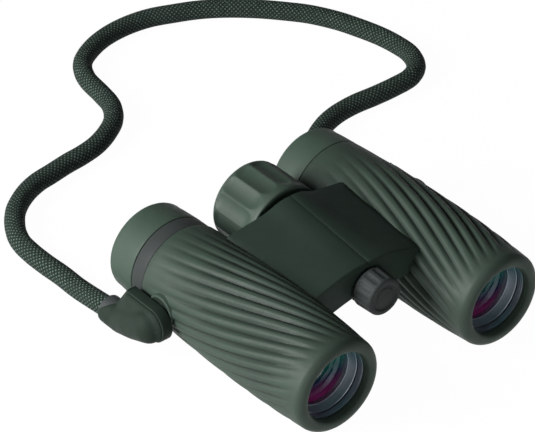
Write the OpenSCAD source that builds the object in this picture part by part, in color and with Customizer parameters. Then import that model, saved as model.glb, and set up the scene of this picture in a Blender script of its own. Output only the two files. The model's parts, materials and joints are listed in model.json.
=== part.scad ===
// Compact centre-focus roof-prism binoculars with a rope neck strap, in millimetres.
// +Z is up, the objectives look towards -Y and the eyepieces towards +Y.
// The origin is on the surface under the middle of the body. The user's right is -X.

/* [Body] */
// Distance between the two barrel axes with the bridge laid flat
barrel_spacing = 72; // [71:0.5:74]
// Largest radius of the rubber armour
armour_r = 19.1; // [18.9:0.1:19.3]
// Radius of the armour at both of its ends
armour_end_r = 17.5; // [17.3:0.1:17.7]
// Height of the hinge axis above the barrel axes
hinge_rise = 8.6; // [8.2:0.1:9]

/* [Objectives] */
// Free radius inside the front retaining ring
front_bore_r = 12.6; // [12.2:0.1:12.7]
// Radius of the objective glass
objective_r = 11.6; // [11:0.1:11.8]

/* [Bridge and focus] */
// Height of the bridge's crown above the barrel axes at the back
crown_rear = 23.2; // [22.5:0.1:23.4]
// Height of the bridge's crown above the barrel axes at the front
crown_front = 18.1; // [17.6:0.1:19]
// Radius of the focus wheel
wheel_r = 15.5; // [15:0.1:15.8]
// Number of broad flutes round the focus wheel
wheel_flutes = 14; // [12:1:16]
// Radius of the tripod socket cap at its foot
cap_r = 7.4; // [7:0.1:7.8]

/* [Eyepieces] */
// Outer radius of an eyecup where it meets the body
eyecup_r = 17.5; // [17.3:0.1:17.7]
// Free radius of the opening in an eyecup's back
eye_hole_r = 11.5; // [11:0.1:12]

/* [Strap] */
// Diameter of the braided strap rope
rope_d = 7.4; // [7:0.1:7.6]
// Distance from the middle of the body to each rope sleeve
sleeve_x = 58; // [58:0.5:60]

/* [Hidden] */
$fn = 96;

// Sides, seen by the user
left = 1;
right = -1;

// Stations along a barrel, counted back from the front rim
body_len = 102.8;
front_y = -body_len / 2;
seat_s = 3;
ring_back_s = 5.9;
cell_back_s = 15;
diopter_s = 82.6;
eyecup_s = 89;
seam = 0.2;
cell_s = [40.5, 52.5];
holder_s = [56, 74];
tube_step_s = 76.5;

// Radii inside a barrel
barrel_z = armour_r;
barrel_r = 15.6;
bore_r = 13.2;
front_seat_r = 14;
tail_bore_r = 14.9;
run = 0.05;
clear = 0.3;
ocular_tube_r = 12;
ocular_bore_r = 10.8;
sleeve_in_r = 13.05;
sleeve_out_r = 14.6;
rim_r = 14.3;

// Hinge, from front to back
hinge_z = barrel_z + hinge_rise;
hinge_s = [28, 69];
hinge_tube_r = 4.5;
hinge_bore_r = 3;
knuckle_r = 7;
spool_r = 6.2;
groove_r = 5.2;
screw_r = 1.8;
inner_trough = [6.7, 8];
outer_trough = [8.3, 9.3];
cavity_s = [40, 58];
left_knuckles = [[28, 33.9], [58, 63.4]];
right_knuckles = [[34.1, 40], [63.6, 69]];
wheel_s = [71.3, 93.7];
flute_r = 9.5;
flute_depth = 0.9;
flute_s = [75.5, 91];
spool_mid = 48.5;
spool_s = [spool_mid - 4.1, spool_mid + 4.1];
groove_s = [spool_mid - 3, spool_mid + 3];
arm_z = [hinge_z - 2.8, hinge_z - 0.2];
left_arm_s = [spool_mid - 2.9, spool_mid - 0.1];
right_arm_s = [spool_mid + 0.1, spool_mid + 2.9];
focus_travel = 2.4;
bridge_top_front = [[0, 0], [9, -0.2], [15, -1.9], [24, -4.6]];
bridge_top_rear = [[0, 0], [4, -0.3], [8, -2], [15.5, -4.5], [20, -5.8], [28, -8.2]];

// Strap fittings
boss_s = 70.5;
boss_z = barrel_z - 0.8;
boss_r = 6;
tab_x = [55.6, 60.6];
tab_r = 7.1;
tab_z = barrel_z - 4.5;
tab_top_z = barrel_z + 2.2;
tab_back_s = 83.5;
sleeve_r = 5.8;
sleeve_mouth_r = 5;
bulb_r = 6.5;
bulb_x = 59.4;
sleeve_z = sleeve_r + 0.1;
sleeve_s = [86, 95.9];
rope_r = rope_d / 2;
rope_z = rope_r + 0.05;
rope_sides = 10;
meet_y = 156;

// Route of each rope half, as [x, y, z], from its sleeve to where the halves meet
route_right = [
    [-58, 37, sleeve_z], [-58, 45, 5.7], [-58, 54, 4.7], [-58, 63, rope_z], [-58, 72, rope_z],
    [-58.5, 81, rope_z], [-58.5, 90, rope_z], [-57.5, 98, rope_z], [-54, 106, rope_z],
    [-48, 114, rope_z], [-40, 120, rope_z], [-32, 123.5, rope_z], [-24, 125, rope_z],
    [-16, 126.5, rope_z], [-8, 127.5, rope_z], [0, 129.5, rope_z], [8, 133.5, rope_z],
    [15, 139, rope_z], [20, 147, rope_z], [22, meet_y, rope_z]
];
route_left = [
    [58, 37, sleeve_z], [58, 45, 5.7], [58, 54, 4.7], [58, 63, rope_z], [60, 72, rope_z],
    [65, 80, rope_z], [73, 85, rope_z], [82, 88, rope_z], [92, 89, rope_z], [102, 88.5, rope_z],
    [112, 88.5, rope_z], [121, 89.5, rope_z], [128, 94, rope_z], [132, 102, rope_z],
    [132.5, 111, rope_z], [131.5, 120, rope_z], [129, 130, rope_z], [126, 139, rope_z],
    [121, 149, rope_z], [115, 157, rope_z], [107, 166, rope_z], [98, 174, rope_z],
    [89, 180, rope_z], [79, 184.5, rope_z], [69, 188, rope_z], [58, 189, rope_z],
    [47, 187.5, rope_z], [37, 183.5, rope_z], [29, 177.5, rope_z], [24, 168, rope_z],
    [22, meet_y, rope_z]
];

// Colours
rubber_green = [0.13, 0.23, 0.18];
bridge_green = [0.10, 0.19, 0.15];
charcoal = [0.20, 0.21, 0.21];
metal = [0.62, 0.65, 0.67];
glass_tint = [0.45, 0.75, 0.72];

// Radius of the armour at station s, a long belly that falls away to both ends
belly_s = 42;
function armour_radius(s) =
    armour_r - (armour_r - armour_end_r) *
    (s < belly_s ? pow((belly_s - s) / (belly_s - 3.5), 2.2)
                 : pow((s - belly_s) / (eyecup_s - belly_s), 2));

// Points of a round corner of radius r about c, from angle a to angle b
function arc(c, r, a, b, steps = 6) =
    [for (i = [0:steps]) c + r * [cos(a + (b - a) * i / steps), sin(a + (b - a) * i / steps)]];

// Children drawn along Z from the front rim are laid along a barrel
module in_barrel(side) {
    translate([side * barrel_spacing / 2, front_y, barrel_z]) rotate([-90, 0, 0]) children();
}

// The same, along the hinge axis
module in_hinge() {
    translate([0, front_y, hinge_z]) rotate([-90, 0, 0]) children();
}

module ring(outer, inner, s) {
    translate([0, 0, s[0]]) difference() {
        cylinder(r = outer, h = s[1] - s[0]);
        translate([0, 0, -1]) cylinder(r = inner, h = s[1] - s[0] + 2);
    }
}

// A box on the user's side of the hinge, between stations s and heights z
module side_box(side, x, s, z) {
    translate([side > 0 ? x[0] : -x[1], front_y + s[0], z[0]])
        cube([x[1] - x[0], s[1] - s[0], z[1] - z[0]]);
}

// ---- Barrel shells ----

// Opening through the armour where the bridge reaches the barrel tube
saddle_x = [15, 25];
saddle_s = [30, 67];
saddle_z = [barrel_z + 2.4, barrel_z + 10];
saddle_gap = 0.1;

module armour(side, back_s) {
    color(rubber_green) difference() {
        in_barrel(side) rotate_extrude() polygon(concat(
            [[front_bore_r, seat_s], [front_bore_r + 0.2, 1.6]],
            arc([rim_r, 1.5], 1.5, 180, 270),
            arc([armour_end_r - 3, 3], 3, -80, 0),
            [for (s = [4.5:4.5:81]) [armour_radius(s), s]],
            [[armour_radius(back_s), back_s], [barrel_r, back_s], [barrel_r, seat_s]]
        ));
        side_box(side, saddle_x, saddle_s, saddle_z);
        boss_solid(side, 51, 60, boss_r);
    }
}

module barrel(side) {
    color(charcoal) difference() {
        in_barrel(side) rotate_extrude() polygon([
            [barrel_r, seat_s], [barrel_r, eyecup_s - seam], [tail_bore_r, eyecup_s - seam],
            [tail_bore_r, tube_step_s], [bore_r, tube_step_s], [bore_r, cell_back_s],
            [front_seat_r, cell_back_s], [front_seat_r, seat_s]
        ]);
        focus_slot(side);
    }
}

// Way through the bridge and the barrel wall for the focus arm and its travel
module focus_slot(side) {
    s = side > 0 ? left_arm_s : right_arm_s;
    side_box(side, [0, 27], [s[0] - focus_travel - 0.4, s[1] + focus_travel + 0.4],
        [arm_z[0] - 0.6, arm_z[1] + 0.6]);
}

// ---- Objective end ----

module front_ring(side) {
    color(metal) in_barrel(side) difference() {
        ring(front_seat_r, front_bore_r, [seat_s, ring_back_s]);
        for (turn = [0, 180])
            rotate(turn) translate([front_bore_r - 0.5, -0.6, seat_s - 0.5]) cube([0.9, 1.2, 1.3]);
    }
}

module objective_cell(side) {
    color(metal) in_barrel(side) rotate_extrude() polygon([
        [front_seat_r, ring_back_s], [front_seat_r, cell_back_s], [objective_r - 0.8, cell_back_s],
        [objective_r - 0.8, 14], [objective_r, 14], [objective_r, 9.2], [objective_r - 0.4, 9.2],
        [front_bore_r - 0.2, ring_back_s]
    ]);
}

// Sagitta of a glass face of curve radius c at distance r from the axis
function sag(c, r) = c - sqrt(c * c - r * r);

// A lens of radius r whose rim lies between stations s, its faces bulging by the two sagittas
module lens(r, s, front_curve, back_curve) {
    steps = 6;
    color(glass_tint, 0.4) rotate_extrude() polygon(concat(
        [for (i = [0:steps]) [r * i / steps, s[0] - sag(front_curve, r) + sag(front_curve, r * i / steps)]],
        [for (i = [steps:-1:0]) [r * i / steps, s[1] + sag(back_curve, r) - sag(back_curve, r * i / steps)]]
    ));
}

module objective_lens(side) {
    in_barrel(side) lens(objective_r, [11, 13.9], 60, 200);
}

module baffle(side) {
    color(charcoal) in_barrel(side) rotate_extrude() polygon([
        [bore_r, 17], [bore_r, 34], [10.5, 34], [10.5, 33], [bore_r - 1.2, 33],
        [bore_r - 1.2, 18], [11.2, 18], [11.2, 17]
    ]);
}

// ---- Moving focus lens ----

module focus_cell(side) {
    color(charcoal) in_barrel(side) difference() {
        ring(bore_r - run, 9.8, cell_s);
        translate([0, 0, cell_s[0] + 4]) cylinder(r = 10.6, h = 9);
    }
}

module focus_lens(side) {
    in_barrel(side) lens(10.6, [cell_s[0] + 4.6, cell_s[0] + 6.6], 90, 70);
}

module focus_arm(side) {
    s = side > 0 ? left_arm_s : right_arm_s;
    color(metal) difference() {
        union() {
            in_hinge() ring(spool_r - 0.1, 4.5, s);
            side_box(side, [2, 27], s, arm_z);
        }
        in_hinge() translate([0, 0, s[0] - 1]) cylinder(r = groove_r + run, h = s[1] - s[0] + 2);
        in_barrel(side) translate([0, 0, s[0] - 1]) cylinder(r = bore_r - run, h = s[1] - s[0] + 2);
    }
}

// ---- Prisms ----

prism_w = 16.4;

module prism_holder(side) {
    color(charcoal) in_barrel(side) difference() {
        translate([0, 0, holder_s[0]]) cylinder(r = bore_r, h = holder_s[1] - holder_s[0]);
        translate([-prism_w / 2, -prism_w / 2, holder_s[0] - 1])
            cube([prism_w, prism_w, holder_s[1] - holder_s[0] + 2]);
    }
}

// Two roof-prism blocks with a thin air gap between their slanted faces
module prism(side) {
    h = prism_w / 2;
    color(glass_tint, 0.5) in_barrel(side) translate([h, 0, holder_s[0] + 0.2])
        rotate([0, -90, 0]) linear_extrude(prism_w) {
            polygon([[0, -h], [0, h], [7.6, h], [15, -0.6], [9, -h]]);
            polygon([[8.6, h], [17.4, h], [17.4, -h], [15.6, -h + 1.2], [15.6, -0.2]]);
        }
}

// ---- Eyepieces ----

module eyepiece_tube(side) {
    color(charcoal) in_barrel(side) {
        rotate_extrude() polygon([
            [ocular_bore_r, 74.1], [bore_r, 74.1], [bore_r, tube_step_s],
            [ocular_tube_r, tube_step_s + 0.3], [ocular_tube_r, 99], [ocular_bore_r, 99]
        ]);
    }
}

module ocular_cell(side) {
    color(charcoal) in_barrel(side) rotate_extrude() polygon([
        [ocular_bore_r - run, 79], [ocular_bore_r - run, 97], [8.2, 97], [8.2, 96],
        [9.4, 95], [9.4, 80.5], [8.6, 80.5], [8.6, 79]
    ]);
}

// Field lens and eye lens held in the ocular cell
module ocular_lens(side) {
    in_barrel(side) {
        lens(9.4, [82.5, 84.5], 30, 60);
        lens(9.4, [90.5, 92.5], 40, 24);
    }
}

module eyecup_key(side) {
    color(charcoal) in_barrel(side) ring(sleeve_in_r - run, ocular_tube_r + run, [77.5, 90]);
}

module eyecup_sleeve(side) {
    color(charcoal) in_barrel(side) ring(sleeve_out_r, sleeve_in_r, [80, 101.2]);
}

module eyecup(side) {
    color(rubber_green) in_barrel(side) rotate_extrude() polygon(concat(
        [[sleeve_out_r, eyecup_s], [eyecup_r, eyecup_s], [eyecup_r - 0.2, 93.5], [16.9, 99]],
        arc([14.8, 100.8], 2, 0, 90),
        arc([eye_hole_r + 0.8, 102], 0.8, 90, 180),
        [[eye_hole_r, 101.2], [sleeve_out_r, 101.2]]
    ));
}

module diopter_ring() {
    color(charcoal) in_barrel(right)
        ring(eyecup_r, barrel_r + run, [diopter_s, eyecup_s - seam]);
}

// ---- Strap fittings ----

module boss_solid(side, from_x, to_x, r) {
    translate([side * from_x, front_y + boss_s, boss_z])
        rotate([0, side * 90, 0]) cylinder(r = r, h = to_x - from_x);
}

module strap_boss(side) {
    color(rubber_green) difference() {
        union() {
            boss_solid(side, 51, tab_x[0], boss_r);
            boss_solid(side, 51, tab_x[0] + 2.4, 2.5);
        }
        in_barrel(side) translate([0, 0, 60]) cylinder(r = barrel_r, h = 20);
    }
}

module connector(side) {
    color(rubber_green) difference() {
        union() {
            side_box(side, tab_x, [boss_s, tab_back_s], [tab_z - 6, tab_top_z]);
            translate([side * tab_x[0], front_y + boss_s - 0.5, tab_z])
                rotate([0, side * 90, 0]) cylinder(r = tab_r, h = tab_x[1] - tab_x[0]);
            hull() {
                translate([side * bulb_x, front_y + boss_s, tab_z])
                    scale([0.7, 1, 1]) sphere(r = bulb_r, $fn = 32);
                translate([side * sleeve_x, front_y + sleeve_s[0], sleeve_z + 0.3])
                    sphere(r = sleeve_r, $fn = 32);
            }
            translate([side * sleeve_x, front_y + sleeve_s[0], sleeve_z])
                rotate([-90, 0, 0]) cylinder(r = sleeve_r, h = sleeve_s[1] - sleeve_s[0]);
        }
        translate([side * sleeve_x, front_y + sleeve_s[0] + 1, sleeve_z])
            rotate([-90, 0, 0]) cylinder(r = rope_r + 0.3, h = 12);
        translate([side * sleeve_x, front_y + sleeve_s[1] - 2.5, sleeve_z])
            rotate([-90, 0, 0]) cylinder(r1 = rope_r + 0.3, r2 = sleeve_mouth_r, h = 2.6);
        boss_solid(side, 50, tab_x[0], boss_r + run);
        boss_solid(side, 50, tab_x[0] + 2.5, 2.5 + run);
        translate([0, 0, -5]) cube([200, 200, 10 - 0.1], center = true);
    }
}

// ---- Bridge ----

// Outline of half of the bridge, closed along its flat underside
function wing_outline(top, crown) = concat(
    [for (p = top) [max(p[0], seam), barrel_z + crown + p[1]]],
    [[24, barrel_z - 1], [18, barrel_z + 3], [5, barrel_z + 6.2], [seam, barrel_z + 6.8]]
);

// Half of the bridge, for a wing on the +X side
module wing_shape() {
    hull() {
        translate([0, front_y + hinge_s[0] + 1, 0]) rotate([90, 0, 0])
            linear_extrude(1) polygon(wing_outline(bridge_top_front, crown_front));
        translate([0, front_y + hinge_s[1], 0]) rotate([90, 0, 0])
            linear_extrude(1) polygon(wing_outline(bridge_top_rear, crown_rear));
    }
}

module knuckle_set(bands, r) {
    in_hinge() for (s = bands) translate([0, 0, s[0]]) cylinder(r = r, h = s[1] - s[0]);
}

// Quarter trough under the hinge that hides the focus spool
module trough(side, inner, outer) {
    intersection() {
        in_hinge() ring(outer, inner, cavity_s);
        side_box(side, [seam, outer + 1], cavity_s, [hinge_z - outer - 1, hinge_z]);
    }
}

// Foot of the bridge that passes through the armour and sits on the barrel tube
module saddle(side) {
    difference() {
        intersection() {
            side_box(side, saddle_x, [saddle_s[0] + saddle_gap, saddle_s[1] - saddle_gap],
                [saddle_z[0] + saddle_gap, saddle_z[1] - saddle_gap]);
            in_barrel(side) cylinder(r = armour_r + 2 * saddle_gap, h = body_len);
        }
        in_barrel(side) cylinder(r = barrel_r, h = body_len);
    }
}

module bridge(side, own, other, bore, shell) {
    color(bridge_green) difference() {
        union() {
            difference() {
                mirror([side > 0 ? 0 : 1, 0, 0]) wing_shape();
                in_barrel(side) cylinder(r = armour_r + saddle_gap, h = body_len);
            }
            saddle(side);
            knuckle_set(own, knuckle_r);
            trough(side, shell[0], shell[1]);
        }
        knuckle_set(other, knuckle_r + clear);
        knuckle_set([cavity_s], shell[0]);
        in_hinge() translate([0, 0, hinge_s[0] - 1]) cylinder(r = bore, h = 60);
        focus_slot(side);
    }
}

// ---- Hinge and focus drive ----

module hinge_tube() {
    color(metal) difference() {
        in_hinge() ring(hinge_tube_r, hinge_bore_r, [hinge_s[0], 84]);
        in_hinge() translate([-8, -1.1, spool_mid - 4.6]) cube([16, 2.2, 9.2]);
    }
}

module hinge_washers() {
    color(metal) in_hinge() {
        ring(knuckle_r - 0.6, hinge_tube_r, [27.2, hinge_s[0]]);
        ring(knuckle_r, hinge_tube_r, [hinge_s[1] + 0.1, hinge_s[1] + 1.3]);
    }
}

module focus_screw() {
    color(metal) in_hinge() {
        translate([0, 0, 40.5]) cylinder(r = screw_r, h = 47.5);
        translate([0, 0, 84.6]) cylinder(r = 4.2, h = 3.4);
    }
}

// Nut inside the hinge tube, its cross bar, and the grooved spool that carries both arms
module focus_spool() {
    color(metal) difference() {
        union() {
            in_hinge() translate([0, 0, spool_s[0]]) cylinder(r = hinge_bore_r - run, h = 8.2);
            in_hinge() translate([-5, -1, spool_mid - 2]) cube([10, 2, 4]);
            in_hinge() ring(spool_r, hinge_tube_r + run, [spool_s[0], groove_s[0]]);
            in_hinge() ring(spool_r, hinge_tube_r + run, [groove_s[1], spool_s[1]]);
            in_hinge() ring(groove_r, hinge_tube_r + run, spool_s);
        }
        in_hinge() translate([0, 0, 41]) cylinder(r = screw_r + run, h = 20);
    }
}

module focus_wheel_core() {
    color(charcoal) in_hinge() {
        rotate_extrude() polygon([
            [hinge_tube_r + run, wheel_s[0]], [12.2, wheel_s[0]], [12.2, 92.2], [0, 92.2],
            [0, 88], [10.6, 88], [10.6, 74], [7.4, 74], [7.4, 83.8], [hinge_tube_r + run, 83.8]
        ]);
        ring(10.6, 4.2, [84.6, 88]);
    }
}

module focus_wheel() {
    color(rubber_green) in_hinge() difference() {
        rotate_extrude() polygon(concat(
            [[12.2, wheel_s[0]]],
            arc([wheel_r - 1.5, wheel_s[0] + 1.5], 1.5, -90, 0),
            arc([wheel_r - 3.2, wheel_s[1] - 3.2], 3.2, 0, 90),
            [[0, wheel_s[1]], [0, 92.2], [12.2, 92.2]]
        ));
        for (i = [1:wheel_flutes]) rotate(i * 360 / wheel_flutes)
            translate([wheel_r - flute_depth + flute_r, 0, flute_s[0]])
                cylinder(r = flute_r, h = flute_s[1] - flute_s[0]);
    }
}

module tripod_bush() {
    color(metal) in_hinge() difference() {
        union() {
            translate([0, 0, 20.4]) cylinder(r = 4.6, h = 6.6);
            translate([0, 0, 27]) cylinder(r = hinge_bore_r, h = 4);
            ring(hinge_tube_r, hinge_bore_r - 1, [27, hinge_s[0]]);
        }
        translate([0, 0, 20]) cylinder(r = 2.6, h = 8.4);
    }
}

module socket_cap() {
    color(charcoal) in_hinge() difference() {
        rotate_extrude() polygon(concat(
            [[0, 19.3], [0, 20.2], [4.7, 20.2], [4.7, 27], [cap_r, 27], [cap_r, 25]],
            arc([cap_r - 1.4, 19.8], 1, 0, -90),
            [[5.2, 18.8], [5, 19.3]]
        ));
        for (i = [1:10]) rotate(i * 36) translate([cap_r + 0.7, 0, 21]) cylinder(r = 1.3, h = 5.4, $fn = 32);
    }
}

// ---- Strap ----

function unit(v) = v / norm(v);

// Direction of the line at point i, square to Y at both ends
function heading(p, i) =
    let (n = len(p) - 1)
    i == 0 ? [0, 1, 0]
    : i == n ? [0, sign(p[n][1] - p[n - 1][1]), 0]
    : unit(p[i + 1] - p[i - 1]);

// Rings of points round the line, joined into one closed tube
module rope(p) {
    n = len(p);
    rings = [for (i = [0:n - 1]) let (
        d = heading(p, i), across = unit(cross(d, [0, 0, 1])), up = cross(across, d))
        for (k = [0:rope_sides - 1])
            p[i] + rope_r * (cos(k * 360 / rope_sides) * across + sin(k * 360 / rope_sides) * up)];
    sides = [for (i = [0:n - 2], k = [0:rope_sides - 1]) let (next = (k + 1) % rope_sides)
        [i * rope_sides + k, i * rope_sides + next, (i + 1) * rope_sides + next, (i + 1) * rope_sides + k]];
    ends = [[for (k = [rope_sides - 1:-1:0]) k], [for (k = [0:rope_sides - 1]) (n - 1) * rope_sides + k]];
    polyhedron(rings, concat(sides, ends), convexity = 10);
}

module strap_left() {
    color(rubber_green) rope(route_left);
}

module strap_right() {
    color(rubber_green) rope(route_right);
}

armour(left, eyecup_s - seam);  // left_armour
barrel(left);  // left_barrel
front_ring(left);  // left_front_ring
objective_cell(left);  // left_objective_cell
objective_lens(left);  // left_objective_lens
baffle(left);  // left_baffle
focus_cell(left);  // left_focus_cell
focus_lens(left);  // left_focus_lens
focus_arm(left);  // left_focus_arm
prism_holder(left);  // left_prism_holder
prism(left);  // left_prism
eyepiece_tube(left);  // left_eyepiece_tube
ocular_cell(left);  // left_ocular_cell
ocular_lens(left);  // left_ocular_lens
eyecup_key(left);  // left_eyecup_key
eyecup_sleeve(left);  // left_eyecup_sleeve
eyecup(left);  // left_eyecup
strap_boss(left);  // left_strap_boss
connector(left);  // left_connector
bridge(left, left_knuckles, right_knuckles, hinge_tube_r, inner_trough);  // left_bridge
armour(right, diopter_s - seam);  // right_armour
barrel(right);  // right_barrel
front_ring(right);  // right_front_ring
objective_cell(right);  // right_objective_cell
objective_lens(right);  // right_objective_lens
baffle(right);  // right_baffle
focus_cell(right);  // right_focus_cell
focus_lens(right);  // right_focus_lens
focus_arm(right);  // right_focus_arm
prism_holder(right);  // right_prism_holder
prism(right);  // right_prism
eyepiece_tube(right);  // right_eyepiece_tube
ocular_cell(right);  // right_ocular_cell
ocular_lens(right);  // right_ocular_lens
eyecup_key(right);  // right_eyecup_key
eyecup_sleeve(right);  // right_eyecup_sleeve
eyecup(right);  // right_eyecup
strap_boss(right);  // right_strap_boss
connector(right);  // right_connector
bridge(right, right_knuckles, left_knuckles, hinge_tube_r + run, outer_trough);  // right_bridge
diopter_ring();
hinge_tube();
hinge_washers();
focus_screw();
focus_spool();
focus_wheel_core();
focus_wheel();
tripod_bush();
socket_cap();
strap_left();
strap_right();
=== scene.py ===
"""Compact binoculars with ribbed rubber armour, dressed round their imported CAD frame.

The frame is in metres. +Z is up, the objectives look towards -Y and the user's right is -X.
Places along a barrel are stations, in millimetres back from the front rim.
"""

import json
import math

import bmesh
import bpy
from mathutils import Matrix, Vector


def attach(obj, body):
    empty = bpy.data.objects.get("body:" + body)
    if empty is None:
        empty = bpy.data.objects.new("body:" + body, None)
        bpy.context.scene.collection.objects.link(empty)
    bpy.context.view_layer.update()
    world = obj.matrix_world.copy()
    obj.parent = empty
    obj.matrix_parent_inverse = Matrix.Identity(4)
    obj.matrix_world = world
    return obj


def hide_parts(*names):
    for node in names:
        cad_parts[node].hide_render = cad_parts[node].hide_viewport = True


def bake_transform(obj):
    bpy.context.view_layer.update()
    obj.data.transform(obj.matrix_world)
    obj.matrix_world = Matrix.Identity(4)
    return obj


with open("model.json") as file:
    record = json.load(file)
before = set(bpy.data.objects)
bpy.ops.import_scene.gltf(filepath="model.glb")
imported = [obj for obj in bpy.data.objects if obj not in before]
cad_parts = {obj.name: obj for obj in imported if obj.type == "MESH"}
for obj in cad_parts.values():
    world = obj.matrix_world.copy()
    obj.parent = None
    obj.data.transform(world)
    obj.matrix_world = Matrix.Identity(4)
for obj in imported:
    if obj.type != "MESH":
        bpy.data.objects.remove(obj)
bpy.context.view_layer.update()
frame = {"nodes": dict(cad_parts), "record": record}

bl_info = {
    "name": "Compact Binoculars",
    "version": (1, 0, 0),
    "blender": (4, 5, 0),
    "location": "3D View > Sidebar > Binoculars",
    "description": "Models the armour, bridge, eyecups, glass and strap of compact binoculars",
    "category": "Add Mesh",
}

MM = 0.001
FRONT = -51.4
BARREL_X = 36.0
BARREL_Z = 19.1
HINGE_Z = 27.7
SIDES = {"left": 1, "right": -1}


# ---- Settings ----


class BinocularShape(bpy.types.PropertyGroup):
    ribs: bpy.props.IntProperty(
        name="Ribs", description="Spiral ribs round each barrel", default=28, min=12, max=48
    )
    rib_depth: bpy.props.FloatProperty(
        name="Rib depth",
        description="Depth of the valleys between the ribs",
        default=0.0011,
        min=0.0,
        max=0.0015,
        unit="LENGTH",
        precision=5,
    )
    flutes: bpy.props.IntProperty(
        name="Flutes", description="Broad flutes round the focus wheel", default=14
    )
    flute_depth: bpy.props.FloatProperty(
        name="Flute depth",
        description="Depth of the flutes of the focus wheel",
        default=0.0009,
        min=0.0,
        max=0.0012,
        unit="LENGTH",
        precision=5,
    )
    cap_grooves: bpy.props.IntProperty(
        name="Cap grooves", description="Grooves round the socket cap", default=12
    )
    rope_diameter: bpy.props.FloatProperty(
        name="Rope diameter",
        description="Thickness of the neck strap rope",
        default=0.0076,
        unit="LENGTH",
        precision=4,
    )


class BinocularFinish(bpy.types.PropertyGroup):
    rubber: bpy.props.FloatVectorProperty(
        name="Rubber", description="Colour of the armour and eyecups",
        subtype="COLOR", default=(0.040, 0.064, 0.048)
    )
    bridge: bpy.props.FloatVectorProperty(
        name="Bridge", description="Colour of the bridge",
        subtype="COLOR", default=(0.017, 0.029, 0.022)
    )
    charcoal: bpy.props.FloatVectorProperty(
        name="Charcoal", description="Colour of the diopter ring and cap",
        subtype="COLOR", default=(0.042, 0.049, 0.048)
    )
    ring: bpy.props.FloatVectorProperty(
        name="Rings", description="Colour of the anodised rings",
        subtype="COLOR", default=(0.34, 0.39, 0.44)
    )
    rope: bpy.props.FloatVectorProperty(
        name="Rope", description="Colour of the braided rope",
        subtype="COLOR", default=(0.036, 0.054, 0.044)
    )


def shape():
    return bpy.context.scene.binocular_shape


def finish():
    return bpy.context.scene.binocular_finish


# ---- Modelling helpers ----


def place(x, s, z):
    """A point in metres from x and z in millimetres and a station."""
    return Vector((x, FRONT + s, z)) * MM


def clear_selection():
    if bpy.context.object is not None and bpy.context.object.mode != "OBJECT":
        bpy.ops.object.mode_set(mode="OBJECT")
    bpy.ops.object.select_all(action="DESELECT")


def work_on(piece):
    clear_selection()
    piece.select_set(True)
    bpy.context.view_layer.objects.active = piece


def freeze():
    """Puts the place, turn and size of what is selected into its mesh."""
    bpy.ops.object.transform_apply(location=True, rotation=True, scale=True)


def select_all():
    bpy.ops.mesh.select_all(action="SELECT")


def into_edit(piece, mode="VERT"):
    work_on(piece)
    bpy.ops.object.mode_set(mode="EDIT")
    bpy.ops.mesh.select_mode(type=mode)


def out_of_edit():
    bpy.ops.object.mode_set(mode="OBJECT")


def select_where(piece, test, kind="verts"):
    """Selects the vertices, edges or faces of the piece in edit mode that pass the test."""
    bpy.ops.mesh.select_all(action="DESELECT")
    mesh = bmesh.from_edit_mesh(piece.data)
    found = [item for item in getattr(mesh, kind) if test(item)]
    if not found:
        raise RuntimeError(f"{piece.name}: nothing to select")
    for item in found:
        item.select = True
    mesh.select_flush(True)
    bmesh.update_edit_mesh(piece.data)


def settle(piece):
    """Merges doubles and turns the faces outward, then puts the piece's place into its mesh."""
    into_edit(piece)
    select_all()
    bpy.ops.mesh.remove_doubles(threshold=2e-6)
    bpy.ops.mesh.normals_make_consistent(inside=False)
    out_of_edit()
    freeze()


def smooth(piece, degrees=32):
    work_on(piece)
    bpy.ops.object.shade_smooth_by_angle(angle=math.radians(degrees))


def apply_modifier(piece, kind, **settings):
    work_on(piece)
    modifier = piece.modifiers.new(kind.lower(), kind)
    for key, value in settings.items():
        setattr(modifier, key, value)
    bpy.ops.object.modifier_apply(modifier=modifier.name)


def combine(piece, tool, how="DIFFERENCE"):
    apply_modifier(piece, "BOOLEAN", operation=how, object=tool, solver="EXACT")
    bpy.data.objects.remove(tool)


def join(pieces):
    clear_selection()
    for piece in pieces:
        piece.select_set(True)
    bpy.context.view_layer.objects.active = pieces[0]
    bpy.ops.object.join()
    return pieces[0]


def doubled(piece, name):
    work_on(piece)
    bpy.ops.object.duplicate(linked=False)
    copy = bpy.context.object
    copy.name = copy.data.name = name
    return copy


def mirrored(piece, name):
    """A copy on the other side of the hinge, with its own mesh turned outward again."""
    copy = doubled(piece, name)
    bpy.ops.transform.resize(value=(-1, 1, 1), center_override=(0, 0, 0))
    freeze()
    settle(copy)
    return copy


def shifted(piece, name, x):
    """A copy moved x millimetres along X."""
    copy = doubled(piece, name)
    bpy.ops.transform.translate(value=(x * MM, 0, 0))
    freeze()
    return copy


def corner(s, r, radius, start, stop, steps=6):
    """Stations and radii round a corner of the outline, from angle start to stop.
    0 points outward and 90 back."""
    angles = [math.radians(start + (stop - start) * i / steps) for i in range(steps + 1)]
    return [(s + radius * math.sin(a), r + radius * math.cos(a)) for a in angles]


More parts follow.
